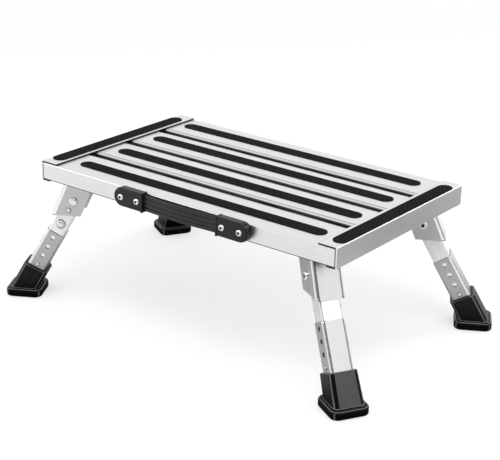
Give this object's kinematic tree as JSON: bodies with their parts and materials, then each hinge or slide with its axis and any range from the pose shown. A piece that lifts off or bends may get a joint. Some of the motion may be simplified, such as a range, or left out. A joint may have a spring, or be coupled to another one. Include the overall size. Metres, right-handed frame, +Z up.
{
  "type": "folding step",
  "caption": "Low rectangular entry step with a slatted metal deck, anti-slip strips, a carrying handle and splayed folding legs with adjustable height.",
  "frame": {"origin": "on the floor under the middle of the deck", "axes": "+X to the right along the deck's length, -Y to the handle side, +Z up"},
  "size_m": [0.6178, 0.384, 0.2023],
  "materials": {
    "deck_aluminium": "satin anodised",
    "frame_aluminium": "satin",
    "tube_aluminium": "bright satin",
    "fastener_steel": "bright",
    "spring_steel": "bright",
    "grip_tape": "coarse matte",
    "strap_rubber": "ribbed satin",
    "foot_rubber": "satin",
    "cap_plastic": "fine grain",
    "washer_nylon": "plain"
  },
  "bodies": {
    "deck": {"front_plank": "deck_aluminium", "front_middle_plank": "deck_aluminium", "rear_middle_plank": "deck_aluminium", "rear_plank": "deck_aluminium", "front_plank_grip": "grip_tape", "front_middle_plank_grip": "grip_tape", "rear_middle_plank_grip": "grip_tape", "rear_plank_grip": "grip_tape", "left_end_rail": "deck_aluminium", "right_end_rail": "deck_aluminium", "left_rail_grip": "grip_tape", "right_rail_grip": "grip_tape", "rail_rivets": "fastener_steel", "front_right_bracket": "frame_aluminium", "rear_right_bracket": "frame_aluminium", "rear_left_bracket": "frame_aluminium", "front_left_bracket": "frame_aluminium", "front_brace": "frame_aluminium", "rear_brace": "frame_aluminium", "left_brace": "frame_aluminium", "right_brace": "frame_aluminium", "bracket_rivets": "fastener_steel", "brace_rivets": "fastener_steel", "handle_strap": "strap_rubber", "left_handle_cap": "cap_plastic", "right_handle_cap": "cap_plastic", "handle_rivets": "fastener_steel", "pivot_bolts": "fastener_steel", "pivot_nuts": "fastener_steel", "pivot_washers": "washer_nylon"},
    "front_right_leg": {"front_right_upper_tube": "tube_aluminium"},
    "front_right_shin": {"front_right_sleeve": "tube_aluminium", "front_right_foot": "foot_rubber"},
    "front_right_lock": {"front_right_fold_lock": "spring_steel"},
    "front_right_thumb_snap": {"front_right_thumb_side_snap": "spring_steel"},
    "front_right_far_snap": {"front_right_far_side_snap": "spring_steel"},
    "rear_right_leg": {"rear_right_upper_tube": "tube_aluminium"},
    "rear_right_shin": {"rear_right_sleeve": "tube_aluminium", "rear_right_foot": "foot_rubber"},
    "rear_right_lock": {"rear_right_fold_lock": "spring_steel"},
    "rear_right_thumb_snap": {"rear_right_thumb_side_snap": "spring_steel"},
    "rear_right_far_snap": {"rear_right_far_side_snap": "spring_steel"},
    "rear_left_leg": {"rear_left_upper_tube": "tube_aluminium"},
    "rear_left_shin": {"rear_left_sleeve": "tube_aluminium", "rear_left_foot": "foot_rubber"},
    "rear_left_lock": {"rear_left_fold_lock": "spring_steel"},
    "rear_left_thumb_snap": {"rear_left_thumb_side_snap": "spring_steel"},
    "rear_left_far_snap": {"rear_left_far_side_snap": "spring_steel"},
    "front_left_leg": {"front_left_upper_tube": "tube_aluminium"},
    "front_left_shin": {"front_left_sleeve": "tube_aluminium", "front_left_foot": "foot_rubber"},
    "front_left_lock": {"front_left_fold_lock": "spring_steel"},
    "front_left_thumb_snap": {"front_left_thumb_side_snap": "spring_steel"},
    "front_left_far_snap": {"front_left_far_side_snap": "spring_steel"}
  },
  "joints": [
    {"name": "front_right_fold", "type": "hinge", "parent": "deck", "child": "front_right_leg", "pos_m": [0.20958, -0.121, 0.149], "axis": [0.5, 0.866, 0], "range_deg": [0, 119.6], "deforming": ["front_right_fold_lock"]},
    {"name": "front_right_height_slide", "type": "slide", "parent": "front_right_leg", "child": "front_right_shin", "axis": [-0.4278, 0.247, 0.8695], "range_m": [-0.048, 0], "deforming": ["front_right_thumb_side_snap", "front_right_far_side_snap"]},
    {"name": "front_right_lock_press", "type": "slide", "parent": "front_right_leg", "child": "front_right_lock", "axis": [-0.5, -0.866, 0], "range_m": [0, 0.0048], "stiffness_N_per_m": 900, "deforming": ["front_right_fold_lock"]},
    {"name": "front_right_thumb_snap_press", "type": "slide", "parent": "front_right_leg", "child": "front_right_thumb_snap", "axis": [-0.5, -0.866, 0], "range_m": [0, 0.0032], "stiffness_N_per_m": 900, "deforming": ["front_right_thumb_side_snap"]},
    {"name": "front_right_far_snap_press", "type": "slide", "parent": "front_right_leg", "child": "front_right_far_snap", "axis": [0.5, 0.866, 0], "range_m": [0, 0.0032], "stiffness_N_per_m": 900, "deforming": ["front_right_far_side_snap"]},
    {"name": "rear_right_fold", "type": "hinge", "parent": "deck", "child": "rear_right_leg", "pos_m": [0.20958, 0.121, 0.149], "axis": [-0.5, 0.866, 0], "range_deg": [0, 119.6], "deforming": ["rear_right_fold_lock"]},
    {"name": "rear_right_height_slide", "type": "slide", "parent": "rear_right_leg", "child": "rear_right_shin", "axis": [-0.4278, -0.247, 0.8695], "range_m": [-0.048, 0], "deforming": ["rear_right_thumb_side_snap", "rear_right_far_side_snap"]},
    {"name": "rear_right_lock_press", "type": "slide", "parent": "rear_right_leg", "child": "rear_right_lock", "axis": [0.5, -0.866, 0], "range_m": [0, 0.0048], "stiffness_N_per_m": 900, "deforming": ["rear_right_fold_lock"]},
    {"name": "rear_right_thumb_snap_press", "type": "slide", "parent": "rear_right_leg", "child": "rear_right_thumb_snap", "axis": [0.5, -0.866, 0], "range_m": [0, 0.0032], "stiffness_N_per_m": 900, "deforming": ["rear_right_thumb_side_snap"]},
    {"name": "rear_right_far_snap_press", "type": "slide", "parent": "rear_right_leg", "child": "rear_right_far_snap", "axis": [-0.5, 0.866, 0], "range_m": [0, 0.0032], "stiffness_N_per_m": 900, "deforming": ["rear_right_far_side_snap"]},
    {"name": "rear_left_fold", "type": "hinge", "parent": "deck", "child": "rear_left_leg", "pos_m": [-0.20958, 0.121, 0.149], "axis": [-0.5, -0.866, 0], "range_deg": [0, 119.6], "deforming": ["rear_left_fold_lock"]},
    {"name": "rear_left_height_slide", "type": "slide", "parent": "rear_left_leg", "child": "rear_left_shin", "axis": [0.4278, -0.247, 0.8695], "range_m": [-0.048, 0], "deforming": ["rear_left_thumb_side_snap", "rear_left_far_side_snap"]},
    {"name": "rear_left_lock_press", "type": "slide", "parent": "rear_left_leg", "child": "rear_left_lock", "axis": [0.5, 0.866, 0], "range_m": [0, 0.0048], "stiffness_N_per_m": 900, "deforming": ["rear_left_fold_lock"]},
    {"name": "rear_left_thumb_snap_press", "type": "slide", "parent": "rear_left_leg", "child": "rear_left_thumb_snap", "axis": [0.5, 0.866, 0], "range_m": [0, 0.0032], "stiffness_N_per_m": 900, "deforming": ["rear_left_thumb_side_snap"]},
    {"name": "rear_left_far_snap_press", "type": "slide", "parent": "rear_left_leg", "child": "rear_left_far_snap", "axis": [-0.5, -0.866, 0], "range_m": [0, 0.0032], "stiffness_N_per_m": 900, "deforming": ["rear_left_far_side_snap"]},
    {"name": "front_left_fold", "type": "hinge", "parent": "deck", "child": "front_left_leg", "pos_m": [-0.20958, -0.121, 0.149], "axis": [0.5, -0.866, 0], "range_deg": [0, 119.6], "deforming": ["front_left_fold_lock"]},
    {"name": "front_left_height_slide", "type": "slide", "parent": "front_left_leg", "child": "front_left_shin", "axis": [0.4278, 0.247, 0.8695], "range_m": [-0.048, 0], "deforming": ["front_left_thumb_side_snap", "front_left_far_side_snap"]},
    {"name": "front_left_lock_press", "type": "slide", "parent": "front_left_leg", "child": "front_left_lock", "axis": [-0.5, 0.866, 0], "range_m": [0, 0.0048], "stiffness_N_per_m": 900, "deforming": ["front_left_fold_lock"]},
    {"name": "front_left_thumb_snap_press", "type": "slide", "parent": "front_left_leg", "child": "front_left_thumb_snap", "axis": [-0.5, 0.866, 0], "range_m": [0, 0.0032], "stiffness_N_per_m": 900, "deforming": ["front_left_thumb_side_snap"]},
    {"name": "front_left_far_snap_press", "type": "slide", "parent": "front_left_leg", "child": "front_left_far_snap", "axis": [0.5, -0.866, 0], "range_m": [0, 0.0032], "stiffness_N_per_m": 900, "deforming": ["front_left_far_side_snap"]}
  ]
}
